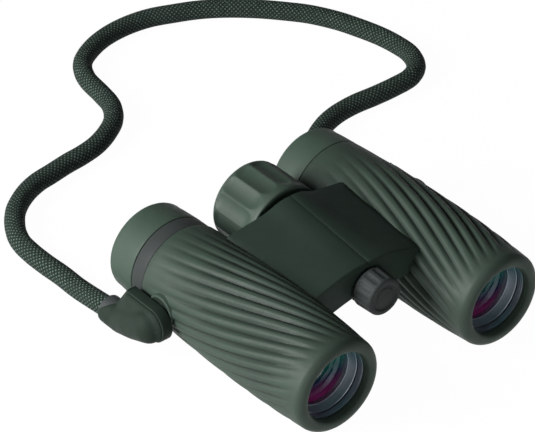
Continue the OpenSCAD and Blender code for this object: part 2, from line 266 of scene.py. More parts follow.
def turned(name, centre, outline, around=96, per=1, dent=None, twist=None, first_turn=0.0):
    """A closed piece of revolution along +Y. One circle is pulled from station to station and sized
    to the outline of (station, radius). dent(station, phase) sinks every per-th vertex by its phase, and
    twist(station) is how far the ring there is turned, in degrees."""
    clear_selection()
    s, r = outline[0]
    x, z = centre
    bpy.ops.mesh.primitive_circle_add(
        vertices=around, radius=r * MM, location=place(x, s, z), rotation=(math.pi / 2, 0, 0)
    )
    piece = bpy.context.object
    piece.name = piece.data.name = name
    freeze()
    into_edit(piece)
    select_all()
    mesh = bmesh.from_edit_mesh(piece.data)
    layer = mesh.verts.layers.int.new("phase")
    for i, vertex in enumerate(mesh.verts):
        vertex[layer] = i % per
    bmesh.update_edit_mesh(piece.data)
    now = [r] * per
    turned_by = 0.0
    if first_turn:
        turn_ring(place(x, s, z), first_turn)
    for before, (s, r) in zip(outline, outline[1:]):
        bpy.ops.mesh.extrude_edges_move(TRANSFORM_OT_translate={"value": (0, (s - before[0]) * MM, 0)})
        middle = place(x, s, z)
        wanted = [max(r - (dent(s, k / per) if dent else 0.0), 0.0) for k in range(per)]
        size_ring(piece, middle, [w / n if n else 1.0 for w, n in zip(wanted, now)])
        now = wanted
        if twist is not None and abs(twist(s) - turned_by) > 1e-4:
            turn_ring(middle, twist(s) - turned_by)
            turned_by = twist(s)
    if twist is not None:
        step = 360 / around
        turn_ring(middle, round(turned_by / step) * step - turned_by)
    out_of_edit()
    settle(piece)
    return piece


def turn_ring(middle, degrees):
    """Turns the selection about +Y from +X towards +Z."""
    bpy.ops.transform.rotate(value=math.radians(degrees), orient_axis="Y", center_override=middle)


def size_ring(piece, middle, factors):
    if max(factors) - min(factors) < 1e-7:
        if abs(factors[0] - 1) > 1e-9:
            bpy.ops.transform.resize(value=(factors[0], 1, factors[0]), center_override=middle)
        return
    mesh = bmesh.from_edit_mesh(piece.data)
    layer = mesh.verts.layers.int["phase"]
    ring = [v for v in mesh.verts if v.select]
    for phase, factor in enumerate(factors):
        for vertex in ring:
            vertex.select = vertex[layer] == phase
        bpy.ops.transform.resize(value=(factor, 1, factor), center_override=middle)
    for vertex in ring:
        vertex.select = True
    mesh.select_flush(True)
    bmesh.update_edit_mesh(piece.data)


def drawn_loop(name, points):
    """One closed outline, drawn vertex by vertex."""
    clear_selection()
    bpy.ops.mesh.primitive_plane_add(size=0.001, location=points[0])
    piece = bpy.context.object
    piece.name = piece.data.name = name
    freeze()
    into_edit(piece)
    select_all()
    bpy.ops.mesh.merge(type="CENTER")
    select_all()
    for a, b in zip(points, points[1:]):
        bpy.ops.mesh.extrude_vertices_move(TRANSFORM_OT_translate={"value": Vector(b) - Vector(a)})
    select_all()
    bpy.ops.mesh.edge_face_add()
    bpy.ops.mesh.delete(type="ONLY_FACE")
    out_of_edit()
    return piece


def ride(piece, body, slot, *nodes):
    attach(piece, body)
    if nodes:
        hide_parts(*nodes)


def dress(piece, degrees, key, body, slot, *nodes):
    """Smooths a piece, gives it its finish and fixes it to its body."""
    smooth(piece, degrees)
    piece.data.materials.append(FINISHES[key])
    ride(piece, body, slot, *nodes)


# ---- Finishes ----


def new_finish(name):
    material = bpy.data.materials.new(name)
    material.use_nodes = True
    nodes, links = material.node_tree.nodes, material.node_tree.links
    shader = nodes["Principled BSDF"]
    return material, nodes, links, shader


def fill(node, **values):
    """Sets a node's inputs, whose names are given with _ for a space."""
    for key, value in values.items():
        node.inputs[key.replace("_", " ")].default_value = value


def noise(nodes, links, source, scale, detail, roughness):
    """Noise in object space. scale is in cells a metre."""
    texture = nodes.new("ShaderNodeTexNoise")
    fill(texture, Scale=scale, Detail=detail, Roughness=roughness)
    links.new(source, texture.inputs["Vector"])
    return texture.outputs["Fac"]


def ranged(nodes, links, source, low, high, from_low=0.3, from_high=0.7):
    node = nodes.new("ShaderNodeMapRange")
    fill(node, From_Min=from_low, From_Max=from_high, To_Min=low, To_Max=high)
    links.new(source, node.inputs["Value"])
    return node.outputs["Result"]


def mixed(nodes, links, factor, first, second):
    """A colour between two, each a colour or a socket."""
    node = nodes.new("ShaderNodeMix")
    node.data_type = "RGBA"
    for socket, value in ((6, first), (7, second)):
        if isinstance(value, bpy.types.NodeSocket):
            links.new(value, node.inputs[socket])
        else:
            node.inputs[socket].default_value = (*value, 1.0)
    links.new(factor, node.inputs[0])
    return node.outputs[2]


def sums(nodes, links, how, first, second=None):
    node = nodes.new("ShaderNodeMath")
    node.operation = how
    for socket, value in enumerate((first, second)):
        if value is None:
            continue
        if isinstance(value, bpy.types.NodeSocket):
            links.new(value, node.inputs[socket])
        else:
            node.inputs[socket].default_value = value
    return node.outputs[0]


def bumped(nodes, links, shader, heights):
    """Bumps in a row. Each is (height socket, depth in metres, strength)."""
    last = None
    for height, depth, strength in heights:
        bump = nodes.new("ShaderNodeBump")
        fill(bump, Distance=depth, Strength=strength)
        links.new(height, bump.inputs["Height"])
        if last is not None:
            links.new(last, bump.inputs["Normal"])
        last = bump.outputs["Normal"]
    links.new(last, shader.inputs["Normal"])


def scaled(colour, factor):
    return tuple(min(c * factor, 1.0) for c in colour)


def moulded(name, colour, rough, specular, grain, depth, mottle=0.12, edge=0.0, painted_valley_shade=0.0):
    """Moulded rubber or plastic: a fine grain, faint mottling, uneven gloss, paler worn edges and
    painted shade that darkens the valleys."""
    material, nodes, links, shader = new_finish(name)
    spot = nodes.new("ShaderNodeTexCoord").outputs["Object"]
    cloud = noise(nodes, links, spot, 55, 4, 0.6)
    speck = noise(nodes, links, spot, grain * 0.35, 2, 0.7)
    dark, light = scaled(colour, 1 - mottle), scaled(colour, 1 + mottle)
    base = mixed(nodes, links, ranged(nodes, links, cloud, 0, 1), dark, light)
    speck = ranged(nodes, links, speck, 0, 0.22, 0.45, 0.75)
    base = mixed(nodes, links, speck, base, scaled(colour, 1.7))
    if edge:
        worn = nodes.new("ShaderNodeNewGeometry").outputs["Pointiness"]
        worn = ranged(nodes, links, worn, 0, edge, 0.52, 0.62)
        base = mixed(nodes, links, worn, base, scaled(colour, 2.4))
    # painted shade: concave places, found by pointiness, are darkened towards a quarter of the colour
    if painted_valley_shade:
        sunk = nodes.new("ShaderNodeNewGeometry").outputs["Pointiness"]
        sunk = ranged(nodes, links, sunk, painted_valley_shade, 0, 0.455, 0.5)
        base = mixed(nodes, links, sunk, base, scaled(colour, 0.25))
    links.new(base, shader.inputs["Base Color"])
    rub = noise(nodes, links, spot, 180, 3, 0.6)
    links.new(ranged(nodes, links, rub, rough - 0.05, rough + 0.05), shader.inputs["Roughness"])
    shader.inputs["Specular IOR Level"].default_value = specular
    fine = noise(nodes, links, spot, grain, 3, 0.65)
    broad = noise(nodes, links, spot, grain * 0.22, 2, 0.5)
    bumped(nodes, links, shader, [(fine, depth, 0.6), (broad, depth * 1.5, 0.35)])
    return material


def machined(name, colour, rough, centre_x, centre_z, top=None):
    """Metal turned about a barrel's or the hinge's axis, with fine rings and rubbed patches. top is
    the tint of its upper half, a painted reflection of the coating's green."""
    material, nodes, links, shader = new_finish(name)
    spot = nodes.new("ShaderNodeTexCoord").outputs["Object"]
    centred = nodes.new("ShaderNodeMapping")
    centred.inputs["Location"].default_value = (-centre_x * MM, 0, -centre_z * MM)
    links.new(spot, centred.inputs["Vector"])
    flat = nodes.new("ShaderNodeVectorMath")
    flat.operation = "MULTIPLY"
    flat.inputs[1].default_value = (1, 0, 1)
    links.new(centred.outputs["Vector"], flat.inputs[0])
    reach = nodes.new("ShaderNodeVectorMath")
    reach.operation = "LENGTH"
    links.new(flat.outputs["Vector"], reach.inputs[0])
    apart = nodes.new("ShaderNodeSeparateXYZ")
    links.new(centred.outputs["Vector"], apart.inputs[0])
    along = sums(nodes, links, "ADD", reach.outputs["Value"], apart.outputs["Y"])
    joined = nodes.new("ShaderNodeCombineXYZ")
    links.new(along, joined.inputs["X"])
    rings = noise(nodes, links, joined.outputs[0], 9000, 2, 0.6)
    patch = noise(nodes, links, spot, 160, 3, 0.6)
    patch = ranged(nodes, links, patch, 0, 1)
    base = mixed(nodes, links, patch, scaled(colour, 0.85), scaled(colour, 1.12))
    # painted reflection: the upper half is tinted with the coating's green
    if top is not None:
        height = ranged(nodes, links, apart.outputs["Z"], 0, 1, -0.002, 0.011)
        base = mixed(nodes, links, height, base, top)
    links.new(base, shader.inputs["Base Color"])
    shader.inputs["Metallic"].default_value = 1.0
    links.new(ranged(nodes, links, rings, rough - 0.06, rough + 0.08), shader.inputs["Roughness"])
    bumped(nodes, links, shader, [(rings, 0.00004, 0.5)])
    return material


def coated_glass(name, centre_z, reach):
    """Dark coated glass with a painted reflection of its coating laid on by height: magenta at the bottom
    through navy to green at the top.
    """
    material, nodes, links, shader = new_finish(name)
    spot = nodes.new("ShaderNodeTexCoord").outputs["Object"]
    apart = nodes.new("ShaderNodeSeparateXYZ")
    links.new(spot, apart.inputs[0])
    low, high = (centre_z - reach) * MM, (centre_z + reach) * MM
    height = ranged(nodes, links, apart.outputs["Z"], 0, 1, low, high)
    drift = noise(nodes, links, spot, 60, 2, 0.5)
    height = sums(nodes, links, "ADD", height, ranged(nodes, links, drift, -0.06, 0.06))
    # painted reflection: the coating's reflected colours are laid on by height
    ramp = nodes.new("ShaderNodeValToRGB")
    stops = [
        (0.0, (0.22, 0.012, 0.12)), (0.14, (0.14, 0.010, 0.09)), (0.32, (0.020, 0.022, 0.070)),
        (0.48, (0.003, 0.085, 0.080)), (1.0, (0.004, 0.26, 0.19)),
    ]
    ramp.color_ramp.elements[0].position = stops[0][0]
    ramp.color_ramp.elements[0].color = (*stops[0][1], 1)
    ramp.color_ramp.elements[1].position = stops[-1][0]
    ramp.color_ramp.elements[1].color = (*stops[-1][1], 1)
    for position, colour in stops[1:-1]:
        ramp.color_ramp.elements.new(position).color = (*colour, 1)
    links.new(height, ramp.inputs["Fac"])
    links.new(ramp.outputs["Color"], shader.inputs["Base Color"])
    smear = noise(nodes, links, spot, 140, 3, 0.6)
    links.new(ranged(nodes, links, smear, 0.02, 0.06), shader.inputs["Roughness"])
    fill(shader, IOR=1.6, Specular_IOR_Level=0.8)
    return material


def plain_glass(name, colour):
    material, nodes, links, shader = new_finish(name)
    spot = nodes.new("ShaderNodeTexCoord").outputs["Object"]
    smear = noise(nodes, links, spot, 220, 3, 0.6)
    links.new(ranged(nodes, links, smear, 0.01, 0.05), shader.inputs["Roughness"])
    tint = noise(nodes, links, spot, 40, 2, 0.5)
    links.new(mixed(nodes, links, tint, colour, scaled(colour, 0.85)), shader.inputs["Base Color"])
    fill(shader, Transmission_Weight=0.9, IOR=1.52)
    return material


def braided(name, colour, strands, cell):
    """Braid on the rope's own UV map: U once round, V in metres along."""
    material, nodes, links, shader = new_finish(name)
    uv = nodes.new("ShaderNodeUVMap")
    uv.uv_map = "along"
    apart = nodes.new("ShaderNodeSeparateXYZ")
    links.new(uv.outputs["UV"], apart.inputs[0])
    around = sums(nodes, links, "MULTIPLY", apart.outputs["X"], strands)
    along = sums(nodes, links, "DIVIDE", apart.outputs["Y"], cell)
    lines = {}
    for key, how in (("one", "ADD"), ("two", "SUBTRACT")):
        lines[key] = sums(nodes, links, how, around, along)

    def wave(value, times):
        turned_by = sums(nodes, links, "MULTIPLY", value, math.pi * times)
        return sums(nodes, links, "ABSOLUTE", sums(nodes, links, "SINE", turned_by))

    weave = sums(nodes, links, "MULTIPLY", wave(lines["one"], 3), wave(lines["two"], 3))
    weave = sums(nodes, links, "POWER", weave, 0.6)
    fleck = sums(nodes, links, "MULTIPLY", wave(lines["one"], 1), wave(lines["two"], 1))
    fleck = ranged(nodes, links, fleck, 0, 1, 0.55, 0.88)
    spot = nodes.new("ShaderNodeTexCoord").outputs["Object"]
    fibre = noise(nodes, links, spot, 4200, 3, 0.7)
    patch = noise(nodes, links, spot, 400, 3, 0.6)
    # painted shade: the colour darkens into the gaps between the strands and pales on their crowns
    base = mixed(nodes, links, weave, scaled(colour, 0.22), scaled(colour, 1.35))
    base = mixed(nodes, links, ranged(nodes, links, patch, 0, 0.4), base, scaled(colour, 0.7))
    bright = sums(nodes, links, "MULTIPLY", fleck, ranged(nodes, links, patch, 0.3, 1.0))
    base = mixed(nodes, links, bright, base, scaled(colour, 6.5))
    links.new(base, shader.inputs["Base Color"])
    links.new(ranged(nodes, links, fibre, 0.62, 0.85), shader.inputs["Roughness"])
    shader.inputs["Specular IOR Level"].default_value = 0.15
    height = sums(nodes, links, "ADD", weave, sums(nodes, links, "MULTIPLY", fleck, 0.6))
    bumped(nodes, links, shader, [(height, 0.00035, 0.9), (fibre, 0.00008, 0.5)])
    return material


FINISHES = {}
LINING = (0.012, 0.012, 0.014)
FERRULE = (0.055, 0.062, 0.062)
CLEAR = (0.80, 0.88, 0.88)
STEEL = (0.52, 0.53, 0.54)
BRASS = (0.62, 0.47, 0.22)
RING_TOP_REFLECTION = (0.04, 0.24, 0.25)  # painted reflection: the coating's green, painted on the tops of the rings


def make_finishes():
    look = finish()
    rubber, bridge, charcoal = tuple(look.rubber), tuple(look.bridge), tuple(look.charcoal)
    # painted shade: the valley amounts darken the rib and flute valleys
    for key, name, *rest, extra in (
        ("armour", "Armour Rubber", rubber, 0.58, 0.34, 5200, 0.00005, {"edge": 0.15, "painted_valley_shade": 0.85}),
        # painted light: the eyecup and wheel rubbers are lighter copies of the armour rubber, standing in
        # for the key light falling on them
        ("eyecup", "Eyecup Rubber", scaled(rubber, 1.25), 0.56, 0.36, 6500, 0.000035, {}),
        ("wheel", "Wheel Rubber", scaled(rubber, 1.15), 0.54, 0.40, 6500, 0.00004,
         {"edge": 0.1, "painted_valley_shade": 0.3}),
        ("connector", "Connector Rubber", scaled(rubber, 0.5), 0.6, 0.12, 6000, 0.00004, {"edge": 0.2}),
        ("bridge", "Bridge Skin", scaled(bridge, 1.25), 0.60, 0.2, 7500, 0.00003,
         {"mottle": 0.08, "edge": 0.3}),
        ("charcoal", "Charcoal Plastic", charcoal, 0.62, 0.2, 7000, 0.00004,
         {"mottle": 0.06, "edge": 0.2}),
        ("black", "Black Lining", LINING, 0.6, 0.3, 5000, 0.00003, {"mottle": 0.2}),
        ("ferrule", "Grey Ferrule", FERRULE, 0.5, 0.3, 6000, 0.00003, {"mottle": 0.06}),
    ):
        FINISHES[key] = moulded(name, *rest, **extra)
    FINISHES["clear_glass"] = plain_glass("Clear Glass", CLEAR)
    FINISHES["steel"] = machined("Turned Steel", STEEL, 0.32, 0, HINGE_Z)
    FINISHES["brass"] = machined("Turned Brass", BRASS, 0.3, 0, HINGE_Z)
    FINISHES["rope"] = braided("Braided Rope", tuple(look.rope), strands=13, cell=0.00179)
    for side, sign in SIDES.items():
        ring = tuple(look.ring)
        FINISHES[f"{side}_ring"] = machined(
            f"Anodised Ring {side}", ring, 0.5, sign * BARREL_X, BARREL_Z, top=RING_TOP_REFLECTION
        )
        FINISHES[f"{side}_lens"] = coated_glass(f"Coated Glass {side}", BARREL_Z, 10)


# ---- Stage ----


def aim(item, target):
    """Points a camera or lamp at a place."""
    item.rotation_euler = (Vector(target) - item.location).to_track_quat("-Z", "Y").to_euler()


class BINO_OT_stage(bpy.types.Operator):
    """Sets the floor, the backdrop, the soft lights and the camera"""

    bl_idname = "bino.stage"
    bl_label = "Stage"

    def execute(self, context):
        scene = context.scene
        clear_selection()
        camera = bpy.data.cameras.new("Camera")
        camera.lens = 195.54
        camera.sensor_width = 36.0
        camera.clip_start = 0.02
        eye = bpy.data.objects.new("Camera", camera)
        eye.location = (-0.51997, -0.60175, 0.61561)
        aim(eye, (0.00678, 0.03756, 0.0191))
        scene.collection.objects.link(eye)
        scene.camera = eye
        scene.view_settings.view_transform = "Standard"

        bpy.ops.mesh.primitive_plane_add(size=6, location=(0, 0, 0))
        floor = context.object
        floor.name = "Floor"
        pale, nodes, links, shader = new_finish("Pale Floor")
        fill(
            shader, Base_Color=(0.03, 0.03, 0.03, 1), Roughness=0.9, Emission_Color=(1, 1, 1, 1),
            Specular_IOR_Level=0.0, Emission_Strength=0.98
        )
        floor.data.materials.append(pale)
        bpy.ops.mesh.primitive_uv_sphere_add(segments=48, ring_count=24, radius=2.9, location=(0, 0, 0))
        dome = context.object
        dome.name = "Backdrop"
        white, nodes, links, shader = new_finish("White Backdrop")
        fill(shader, Base_Color=(0, 0, 0, 1), Emission_Color=(1, 1, 1, 1), Emission_Strength=1.0)
        dome.data.materials.append(white)
        for sheet in (floor, dome):
            sheet.visible_diffuse = False
            sheet.visible_shadow = False
            sheet.visible_glossy = sheet is floor
            sheet.visible_transmission = False
        world = bpy.data.worlds.new("Soft Room")
        world.use_nodes = True
        world.node_tree.nodes["Background"].inputs["Color"].default_value = (1, 1, 1, 1)
        world.node_tree.nodes["Background"].inputs["Strength"].default_value = 0.05
        scene.world = world
        self.light("Key", (-0.95, 0.30, 0.52), 0.5, 0.6, 18)
        self.light("Back", (0.85, 0.65, 0.40), 0.35, 0.6, 0.2)
        self.light("Fill", (-0.35, -1.0, 0.18), 0.7, 0.5, 2.6)
        return {"FINISHED"}

    def light(self, name, location, width, height, power):
        lamp = bpy.data.lights.new(name, "AREA")
        lamp.shape = "RECTANGLE"
        lamp.size, lamp.size_y = width, height
        lamp.energy = power
        holder = bpy.data.objects.new(name, lamp)
        holder.location = location
        aim(holder, (0, 0, 0.02))
        bpy.context.scene.collection.objects.link(holder)


# ---- Strap ----

ROPE_Z = 3.85
ROUTE_RIGHT = [
    (-58, 37, 5.9), (-58, 45, 5.7), (-58, 54, 4.7), (-58, 63), (-58, 72), (-58.5, 81), (-58.5, 90),
    (-57.5, 98), (-54, 106), (-48, 114), (-40, 120), (-32, 123.5), (-24, 125), (-16, 126.5),
    (-8, 127.5), (0, 129.5), (8, 133.5), (15, 139), (20, 147), (22, 156),
]
ROUTE_LEFT = [
    (58, 37, 5.9), (58, 45, 5.7), (58, 54, 4.7), (58, 63), (60, 72), (65, 80), (73, 85), (82, 88),
    (92, 89), (102, 88.5), (112, 88.5), (121, 89.5), (128, 94), (132, 102), (132.5, 111), (131.5, 120),
    (129, 130), (126, 139), (121, 149), (115, 157), (107, 166), (98, 174), (89, 180), (79, 184.5),
    (69, 188), (58, 189), (47, 187.5), (37, 183.5), (29, 177.5), (24, 168), (22, 156),
]


def smooth_route(points, step):
    """Points every step along the smooth curve through the route's points."""
    points = [Vector(p if len(p) == 3 else (*p, ROPE_Z)) * MM for p in points]
    points = [2 * points[0] - points[1], *points, 2 * points[-1] - points[-2]]
    fine = []
    for a, b, c, d in zip(points, points[1:], points[2:], points[3:]):
        for i in range(16):
            t = i / 16
            square, cube = 2 * a - 5 * b + 4 * c - d, 3 * b - a - 3 * c + d
            fine.append(0.5 * (2 * b + (c - a) * t + square * t * t + cube * t**3))
    fine.append(points[-2])
    reach = [0.0]
    for a, b in zip(fine, fine[1:]):
        reach.append(reach[-1] + (b - a).length)
    count = int(reach[-1] / step)
    line, at = [], 0
    for i in range(count + 1):
        want = reach[-1] * i / count
        while at < len(fine) - 2 and reach[at + 1] < want:
            at += 1
        share = (want - reach[at]) / (reach[at + 1] - reach[at])
        line.append(fine[at].lerp(fine[at + 1], share))
    return line, reach[-1]


class BINO_OT_strap(bpy.types.Operator):
    """Lays the braided neck strap from sleeve to sleeve along the table"""

    bl_idname = "bino.strap"
    bl_label = "Neck Strap"

    def execute(self, context):
        radius = shape().rope_diameter / 2
        line, length = smooth_route(ROUTE_RIGHT + ROUTE_LEFT[-2::-1], 0.0008)
        sides = 20
        mesh = bmesh.new()
        uv = mesh.loops.layers.uv.new("along")
        rings = []
        for i, point in enumerate(line):
            ahead = (line[min(i + 1, len(line) - 1)] - line[max(i - 1, 0)]).normalized()
            across = ahead.cross(Vector((0, 0, 1))).normalized()
            up = across.cross(ahead)
            rings.append([
                mesh.verts.new(point + radius * (math.cos(a) * across + math.sin(a) * up))
                for a in (math.tau * k / sides for k in range(sides))
            ])
        step = length / (len(line) - 1)
        for i, (a, b) in enumerate(zip(rings, rings[1:])):
            for k in range(sides):
                face = mesh.faces.new((a[k], b[k], b[(k + 1) % sides], a[(k + 1) % sides]))
                face.smooth = True
                spots = ((k, i), (k, i + 1), (k + 1, i + 1), (k + 1, i))
                for loop, (u, v) in zip(face.loops, spots):
                    loop[uv].uv = (u / sides, v * step)
        mesh.faces.new(rings[0])
        mesh.faces.new(list(reversed(rings[-1])))
        bmesh.ops.recalc_face_normals(mesh, faces=mesh.faces)
        data = bpy.data.meshes.new("neck_strap")
        mesh.to_mesh(data)
        mesh.free()
        rope = bpy.data.objects.new("neck_strap", data)
        context.scene.collection.objects.link(rope)
        data.materials.append(FINISHES["rope"])
        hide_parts("strap_right", "strap_left")
        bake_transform(rope)
        return {"FINISHED"}


# ---- Armour ----

BELLY = 42.0
RIB_SHARE = [(3, 0), (5, 0.08), (10, 0.5), (16, 0.8), (22, 0.94), (30, 1), (38, 1), (46, 0.93),
             (52, 0.8), (58, 0.62), (64, 0.44), (70, 0.27), (76, 0.13), (81, 0.03), (82.5, 0)]


def along_table(table, s):
    """The value at a station, in a straight line between the table's own."""
    if s <= table[0][0]:
        return table[0][1]
    for (a, low), (b, high) in zip(table, table[1:]):
        if s <= b:
            return low + (high - low) * (s - a) / (b - a)
    return table[-1][1]


def armour_radius(s):
    fall = ((BELLY - s) / 38.5) ** 2.2 if s < BELLY else ((s - BELLY) / 47) ** 2
    return 19.1 - 1.6 * fall


def rib_turn(s):
    x = max(s - 4.0, 0.0)
    return 1.321 * x - 0.00545 * x * x


class BINO_OT_armour(bpy.types.Operator):
    """Models the rubber armour of both barrels with its spiral ribs"""

    bl_idname = "bino.armour"
    bl_label = "Armour"

    def execute(self, context):
        look = shape()
        depth = look.rib_depth / MM
        pitch = 360 / look.ribs
        per = 10

        def dent(s, phase):
            return depth * along_table(RIB_SHARE, s) * math.sin(math.pi * phase) ** 4

        for side, sign, back, crest in (("right", -1, 82.4, 1.7), ("left", 1, 88.8, 4.6)):
            edge = armour_radius(back)
            outline = [(3.2, 15.6), (3.2, 12.9), (3.0, 12.62), (2.2, 12.62), (1.6, 12.72)]
            outline += corner(1.5, 14.3, 1.5, 180, 270, 6)
            outline += corner(3.0, 14.5, 3.0, 270, 360, 9)[1:]
            stations = [4.2 + i * 1.3 for i in range(200) if 4.2 + i * 1.3 < back - 1.2]
            outline += [(s, armour_radius(s)) for s in stations]
            outline += corner(back - 0.35, edge - 0.35, 0.35, 0, 90, 3)
            outline += [(back, 15.6), (back - 28, 15.6), (back - 56, 15.6), (3.2, 15.6)]
            piece = turned(
                f"{side}_armour_ribbed",
                (sign * BARREL_X, BARREL_Z),
                outline,
                around=look.ribs * per,
                per=per,
                dent=dent,
                twist=lambda s: -sign * rib_turn(min(s, back)),
                first_turn=(crest - 90) % pitch,
            )
            dress(piece, 40, "armour", f"{side}_half", "rubber_armour", f"{side}_armour")
        return {"FINISHED"}


# ---- Bridge ----

BRIDGE_ENDS = (28.0, 68.6)
SPOOL = (40.0, 58.0)
BARREL_SEAT = 16.6

REAR_TOP = [(0.1, 23.3), (2, 23.2), (4, 22.85), (6, 22.2), (8, 21.25), (10, 20.3), (12, 19.65),
            (14, 19.1), (16.5, 18.45), (20, 17.55), (23, 16.75), (25.2, 16.15)]
FRONT_TOP = [(0.1, 18.1), (2, 18.1), (4, 18.05), (6, 17.95), (8, 17.7), (10, 17.35), (12, 16.9),
             (14, 16.4), (16.3, 15.75), (18.5, 15.1), (20.7, 14.4), (22.4, 13.8)]


def wing_outline(top, s, sweep):
    """Half of the bridge's outline at station s, from the crown over the edge and back under it."""
    points = list(top)
    x, z = points[-1]
    reach = math.hypot(x - BARREL_X, z)
    for inward in (0.5, 1.2, 2.4):
        share = (reach - inward) / reach
        points.append((BARREL_X + (x - BARREL_X) * share + 0.25, z * share - 0.1))
    for a in (math.radians(150), math.radians(166)):
        points.append((BARREL_X + BARREL_SEAT * math.cos(a), BARREL_SEAT * math.sin(a)))
    points += [(14.9, 4.1), (10, 5.3), (5, 6.3), (0.1, 6.8)]
    return [place(x, s + sweep * (x / 27) ** 1.4, BARREL_Z + z) for x, z in points]


def cylinder_tool(name, r, s0, s1):
    return turned(name, (0, HINGE_Z), [(s0, 0.001), (s0, r), (s1, r), (s1, 0.001)], around=72)


class BINO_OT_bridge(bpy.types.Operator):
    """Models the two halves of the folding bridge with their hinge knuckles"""

    bl_idname = "bino.bridge"
    bl_label = "Bridge"

    def execute(self, context):
        knuckles = {"left": [(28, 33.9), (58, 63.4)], "right": [(34.1, 40), (63.6, 68.6)]}
        wells = {"left": (6.7, 8.0), "right": (8.3, 9.3)}
        front = drawn_loop("wing_front", wing_outline(FRONT_TOP, BRIDGE_ENDS[0], 0.0))
        rear = drawn_loop("wing_rear", wing_outline(REAR_TOP, BRIDGE_ENDS[1], 3.1))
        wing = join([front, rear])
        into_edit(wing, "EDGE")
        select_all()
        bpy.ops.mesh.bridge_edge_loops(number_cuts=10, interpolation="LINEAR")
        for end, sweep in zip(BRIDGE_ENDS, (0.1, 3.6)):
            low, high = place(0, end - 0.1, 0).y, place(0, end + sweep, 0).y

            def at_end(edge):
                return len(edge.link_faces) == 1 and all(low < v.co.y < high for v in edge.verts)

            select_where(wing, at_end, "edges")
            bpy.ops.mesh.edge_face_add()
        select_all()
        bpy.ops.mesh.normals_make_consistent(inside=False)
        self.select_rims(wing)
        bpy.ops.mesh.bevel(offset=0.00055, segments=4, profile=0.5, affect="EDGES")

        def on_crown(edge):
            return all(abs(v.co.x - 0.0001) < 3e-5 and v.co.z > 0.036 for v in edge.verts)

        select_where(wing, on_crown, "edges")
        bpy.ops.mesh.bevel(offset=0.00012, segments=2, profile=0.5, affect="EDGES")
        out_of_edit()
        wing.name = wing.data.name = "left_bridge_half"
        other = mirrored(wing, "right_bridge_half")
        for side, piece in (("left", wing), ("right", other)):
            away = "right" if side == "left" else "left"
            for s0, s1 in knuckles[away]:
                combine(piece, cylinder_tool("gap", 7.3, s0 - 0.1, s1 + (4 if s1 > 68 else 0.1)))
            combine(piece, cylinder_tool("well", wells[side][0], *SPOOL))
            for s0, s1 in knuckles[side]:
                combine(piece, cylinder_tool("knuckle", 7.0, s0 + 0.01, s1 - 0.01), "UNION")
            self.trough(piece, side, wells[side])
            combine(piece, cylinder_tool("bore", 4.55, 20, 80))
            settle(piece)
            dress(piece, 28, "bridge", f"{side}_half", "bridge_plastic", f"{side}_bridge")
        return {"FINISHED"}

    def select_rims(self, wing):
        """Selects the edges between the wing's top and its front and rear faces."""

        def on_rim(edge):
            if len(edge.link_faces) != 2 or min(v.co.z for v in edge.verts) < 0.0315:
                return False
            faces = sorted(edge.link_faces, key=lambda f: abs(f.normal.y))
            return abs(faces[1].normal.y) > 0.8 and faces[0].normal.z > 0.3

        select_where(wing, on_rim, "edges")

    def trough(self, piece, side, radii):
        """Adds the quarter trough under the hinge that hides the focus spool."""
        (front, back), (near, far) = SPOOL, radii
        outline = [(front, near), (front, far), (back, far), (back, near), (front, near)]
        shell = turned("trough", (0, HINGE_Z), outline)
        into_edit(shell)
        sign = SIDES[side]
        select_all()
        bpy.ops.mesh.bisect(
            plane_co=(sign * 0.0001, 0, 0), plane_no=(sign, 0, 0), use_fill=True, clear_inner=True
        )
        select_all()
        bpy.ops.mesh.bisect(
            plane_co=(0, 0, HINGE_Z * MM), plane_no=(0, 0, 1), use_fill=True, clear_outer=True
        )
        out_of_edit()
        settle(shell)
        combine(piece, shell, "UNION")


# ---- Eyepieces ----


class BINO_OT_eyecups(bpy.types.Operator):
    """Models the twist-up eyecups and the diopter ring"""

    bl_idname = "bino.eyecups"
    bl_label = "Eyecups"

    def execute(self, context):
        outline = self.back_of_cup()
        cup = turned("right_eyecup_rubber", (-BARREL_X, BARREL_Z), outline, around=128)
        smooth(cup, 40)
        cup.data.materials.append(FINISHES["eyecup"])
        other = shifted(cup, "left_eyecup_rubber", 2 * BARREL_X)
        for side, piece in (("right", cup), ("left", other)):
            ride(piece, f"{side}_eyecup_rise", "rubber_armour", f"{side}_eyecup")
        diopter = turned("diopter_band", (-BARREL_X, BARREL_Z), self.band(), around=128)
        dress(diopter, 40, "charcoal", "diopter", "charcoal_plastic", "diopter_ring")
        return {"FINISHED"}

    def back_of_cup(self):
        """The eyecup's outline: outside, rounded back, rolled lip and the way in to the eye lens."""
        outline = [(89.0, 14.65), (89.0, 17.15), (89.05, 17.3), (89.2, 17.42), (89.4, 17.46), (91, 17.41),
                   (92.5, 17.34), (94, 17.26), (95.5, 17.17), (97, 17.06), (98.3, 16.95), (99.3, 16.82)]
        for angle in (12, 28, 44, 60, 76, 90):
            a = math.radians(angle)
            outline.append((100.7 + 2.1 * math.sin(a), 14.75 + 2.1 * math.cos(a)))
        outline += [(102.78, 13.6), (102.6, 12.7), (102.2, 12.0), (101.7, 11.6), (101.25, 11.5),
                    (101.2, 12.0), (101.2, 14.65), (89.0, 14.65)]
        return outline

    def band(self):
        """The band's outline from its front inner edge, out, back and in again."""
        return [(82.65, 15.7), (82.65, 17.1), (82.7, 17.3), (82.85, 17.45), (83.1, 17.52),
                (85.7, 17.5), (88.35, 17.47), (88.6, 17.4), (88.72, 17.25), (88.75, 17.1),
                (88.75, 15.7), (82.65, 15.7)]


# ---- Focus wheel and cap ----

